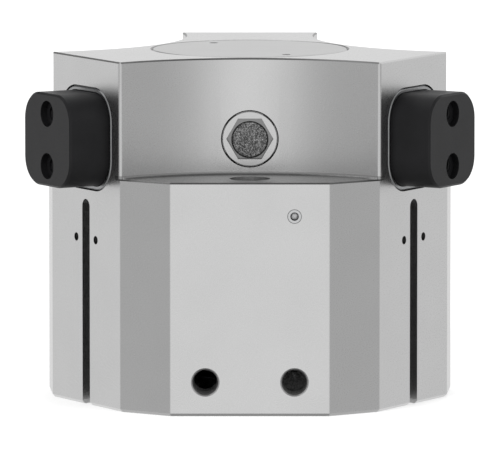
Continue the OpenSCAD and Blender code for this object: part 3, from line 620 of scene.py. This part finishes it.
# ---------------------------------------------------------------------------------------------
# Studio: three soft lamps and an even white sky light the matt pieces. Metal mirrors a graded grey
# room with three soft panels, and the camera sees plain white. The floor keeps the contact shadow
# and can be looked through from below.
# ---------------------------------------------------------------------------------------------
AROUND = [  # bearing from the front in degrees, brightness of the room in that direction
    (-180, 0.99), (-150, 0.97), (-120, 0.77), (-95, 0.55), (-75, 0.475), (-50, 0.475), (-38, 0.54),
    (-26, 0.66), (-14, 0.81), (0, 0.88), (14, 0.81), (26, 0.66), (38, 0.54), (50, 0.475), (75, 0.475),
    (95, 0.53), (120, 0.72), (150, 0.93), (180, 0.99),
]
UPWARDS = [(0, 1.0), (35, 1.0), (60, 0.62), (80, 0.36), (90, 0.33)]  # elevation, share of brightness
PANELS = [  # bearing, elevation, reach in degrees and grey of a panel that hangs in the room
    (0, 42, 22, 0.45),
    (-143, 31, 17, 0.12),
    (-108, 59, 14, 0.95),
]
ROOM_LEVEL = 1.1
SKY_LEVEL = 0.5
WHITE = (1, 1, 1, 1)
FLOOR_HALF = 6.0
FLOOR_DROP = 0.00005  # keeps the floor clear of the foot face
FLOOR_GREY = 0.45
FLOOR_GLOW = 0.6
LAMPS = [  # name, place, size, watts
    ("key_lamp", (-1.3, -1.9, 1.7), 1.4, 55),
    ("fill_lamp", (1.7, -1.3, 1.1), 1.6, 26),
    ("back_lamp", (0.3, 1.8, 1.6), 1.4, 26),
]
LAMP_AIM = Vector((0, 0, 0.06))
CAMERA_PLACE = (0.00005, -3.177, 0.40466)
CAMERA_DIP = 6.2174  # degrees below level
CAMERA_LENS = 663.03

world = bpy.data.worlds.new("studio_room")
bpy.context.scene.world = world
world.use_nodes = True
world.cycles.sampling_method = "NONE"
tree = world.node_tree
tree.nodes.clear()
link = tree.links.new


def grey_ramp(value, stops, shape):
    """A colour ramp through (position, grey) stops."""
    ramp = tree.nodes.new("ShaderNodeValToRGB")
    ramp.color_ramp.interpolation = shape
    marks = ramp.color_ramp.elements
    while len(marks) < len(stops):
        marks.new(0.5)
    for mark, (position, grey) in zip(marks, stops):
        mark.position = position
    for mark, (position, grey) in zip(marks, stops):
        mark.position = position
        mark.color = (grey, grey, grey, 1)
    link(value, ramp.inputs["Fac"])
    return ramp.outputs["Color"]


where = tree.nodes.new("ShaderNodeTexCoord")
parts = tree.nodes.new("ShaderNodeSeparateXYZ")
link(where.outputs["Generated"], parts.inputs["Vector"])
toward_front = math_node(tree, "MULTIPLY", parts.outputs["Y"], -1)
bearing = math_node(tree, "ARCTAN2", parts.outputs["X"], toward_front)
turn = math_node(tree, "ADD", math_node(tree, "DIVIDE", bearing, 2 * math.pi), 0.5, clamp=True)
rise = math_node(tree, "ARCSINE", math_node(tree, "ABSOLUTE", parts.outputs["Z"]))
height = math_node(tree, "DIVIDE", rise, math.pi / 2, clamp=True)
around = grey_ramp(turn, [((angle + 180) / 360, grey) for angle, grey in AROUND], "LINEAR")
upwards = grey_ramp(height, [(angle / 90, grey) for angle, grey in UPWARDS], "EASE")
room = tree.nodes.new("ShaderNodeMix")
room.data_type = "RGBA"
room.blend_type = "MULTIPLY"
room.inputs["Factor"].default_value = 1
link(around, room.inputs["A"])
link(upwards, room.inputs["B"])
walls = room.outputs["Result"]
for panel_bearing, panel_rise, reach, grey in PANELS:
    flat = math.cos(math.radians(panel_rise))
    toward = tree.nodes.new("ShaderNodeVectorMath")
    toward.operation = "DOT_PRODUCT"
    toward.inputs[1].default_value = (
        flat * math.sin(math.radians(panel_bearing)),
        -flat * math.cos(math.radians(panel_bearing)),
        math.sin(math.radians(panel_rise)),
    )
    link(where.outputs["Generated"], toward.inputs[0])
    soft_edge = tree.nodes.new("ShaderNodeMapRange")
    soft_edge.interpolation_type = "SMOOTHSTEP"
    soft_edge.inputs["From Min"].default_value = math.cos(math.radians(reach * 1.5))
    soft_edge.inputs["From Max"].default_value = math.cos(math.radians(reach * 0.6))
    link(toward.outputs["Value"], soft_edge.inputs["Value"])
    panel = tree.nodes.new("ShaderNodeMix")
    panel.data_type = "RGBA"
    panel.inputs["B"].default_value = (grey, grey, grey, 1)
    link(soft_edge.outputs["Result"], panel.inputs["Factor"])
    link(walls, panel.inputs["A"])
    walls = panel.outputs["Result"]
rays = tree.nodes.new("ShaderNodeLightPath")
seen = math_node(tree, "MAXIMUM", rays.outputs["Is Camera Ray"], rays.outputs["Is Transmission Ray"])
plain = tree.nodes.new("ShaderNodeBackground")
plain.inputs["Color"].default_value = WHITE
plain.inputs["Strength"].default_value = 1
mirrored = tree.nodes.new("ShaderNodeBackground")
link(walls, mirrored.inputs["Color"])
mirrored.inputs["Strength"].default_value = ROOM_LEVEL
soft = tree.nodes.new("ShaderNodeBackground")
soft.inputs["Color"].default_value = WHITE
soft.inputs["Strength"].default_value = SKY_LEVEL
glossy_or_soft = tree.nodes.new("ShaderNodeMixShader")
link(rays.outputs["Is Glossy Ray"], glossy_or_soft.inputs["Fac"])
link(soft.outputs["Background"], glossy_or_soft.inputs[1])
link(mirrored.outputs["Background"], glossy_or_soft.inputs[2])
final = tree.nodes.new("ShaderNodeMixShader")
link(seen, final.inputs["Fac"])
link(glossy_or_soft.outputs["Shader"], final.inputs[1])
link(plain.outputs["Background"], final.inputs[2])
output = tree.nodes.new("ShaderNodeOutputWorld")
link(final.outputs["Shader"], output.inputs["Surface"])

bpy.ops.mesh.primitive_plane_add(size=2 * FLOOR_HALF, location=(0, 0, -FLOOR_DROP))
floor = bpy.context.object
floor.name = "studio_floor"
floor_material = bpy.data.materials.new("pale_floor")
floor_material.use_nodes = True
tree = floor_material.node_tree
tree.nodes.clear()
link = tree.links.new
matt = tree.nodes.new("ShaderNodeBsdfDiffuse")
matt.inputs["Color"].default_value = (FLOOR_GREY, FLOOR_GREY, FLOOR_GREY, 1)
glow = tree.nodes.new("ShaderNodeEmission")
glow.inputs["Color"].default_value = WHITE
rays = tree.nodes.new("ShaderNodeLightPath")
seen = math_node(tree, "MAXIMUM", rays.outputs["Is Camera Ray"], rays.outputs["Is Transmission Ray"])
seen = math_node(tree, "MAXIMUM", seen, rays.outputs["Is Glossy Ray"])
link(math_node(tree, "MULTIPLY", seen, FLOOR_GLOW), glow.inputs["Strength"])
both = tree.nodes.new("ShaderNodeAddShader")
link(matt.outputs["BSDF"], both.inputs[0])
link(glow.outputs["Emission"], both.inputs[1])
side = tree.nodes.new("ShaderNodeNewGeometry")
clear = tree.nodes.new("ShaderNodeBsdfTransparent")
one_way = tree.nodes.new("ShaderNodeMixShader")
link(side.outputs["Backfacing"], one_way.inputs["Fac"])
link(both.outputs["Shader"], one_way.inputs[1])
link(clear.outputs["BSDF"], one_way.inputs[2])
output = tree.nodes.new("ShaderNodeOutputMaterial")
link(one_way.outputs["Shader"], output.inputs["Surface"])
floor.data.materials.append(floor_material)
floor.visible_glossy = False

for name, place, size, watts in LAMPS:
    lamp = bpy.data.lights.new(name, "AREA")
    lamp.shape = "DISK"
    lamp.size = size
    lamp.energy = watts
    lamp_object = bpy.data.objects.new(name, lamp)
    bpy.context.scene.collection.objects.link(lamp_object)
    lamp_object.location = place
    lamp_object.visible_glossy = False
    lamp_object.rotation_euler = (LAMP_AIM - Vector(place)).to_track_quat("-Z", "Y").to_euler()

camera = bpy.data.cameras.new("studio_camera")
camera.lens = CAMERA_LENS
camera.sensor_width = 36
camera.clip_start = 0.1
camera.clip_end = 50
camera_object = bpy.data.objects.new("studio_camera", camera)
bpy.context.scene.collection.objects.link(camera_object)
camera_object.location = CAMERA_PLACE
camera_object.rotation_euler = (math.radians(90 - CAMERA_DIP), 0, 0)
bpy.context.scene.camera = camera_object
bpy.context.scene.view_settings.view_transform = "Standard"
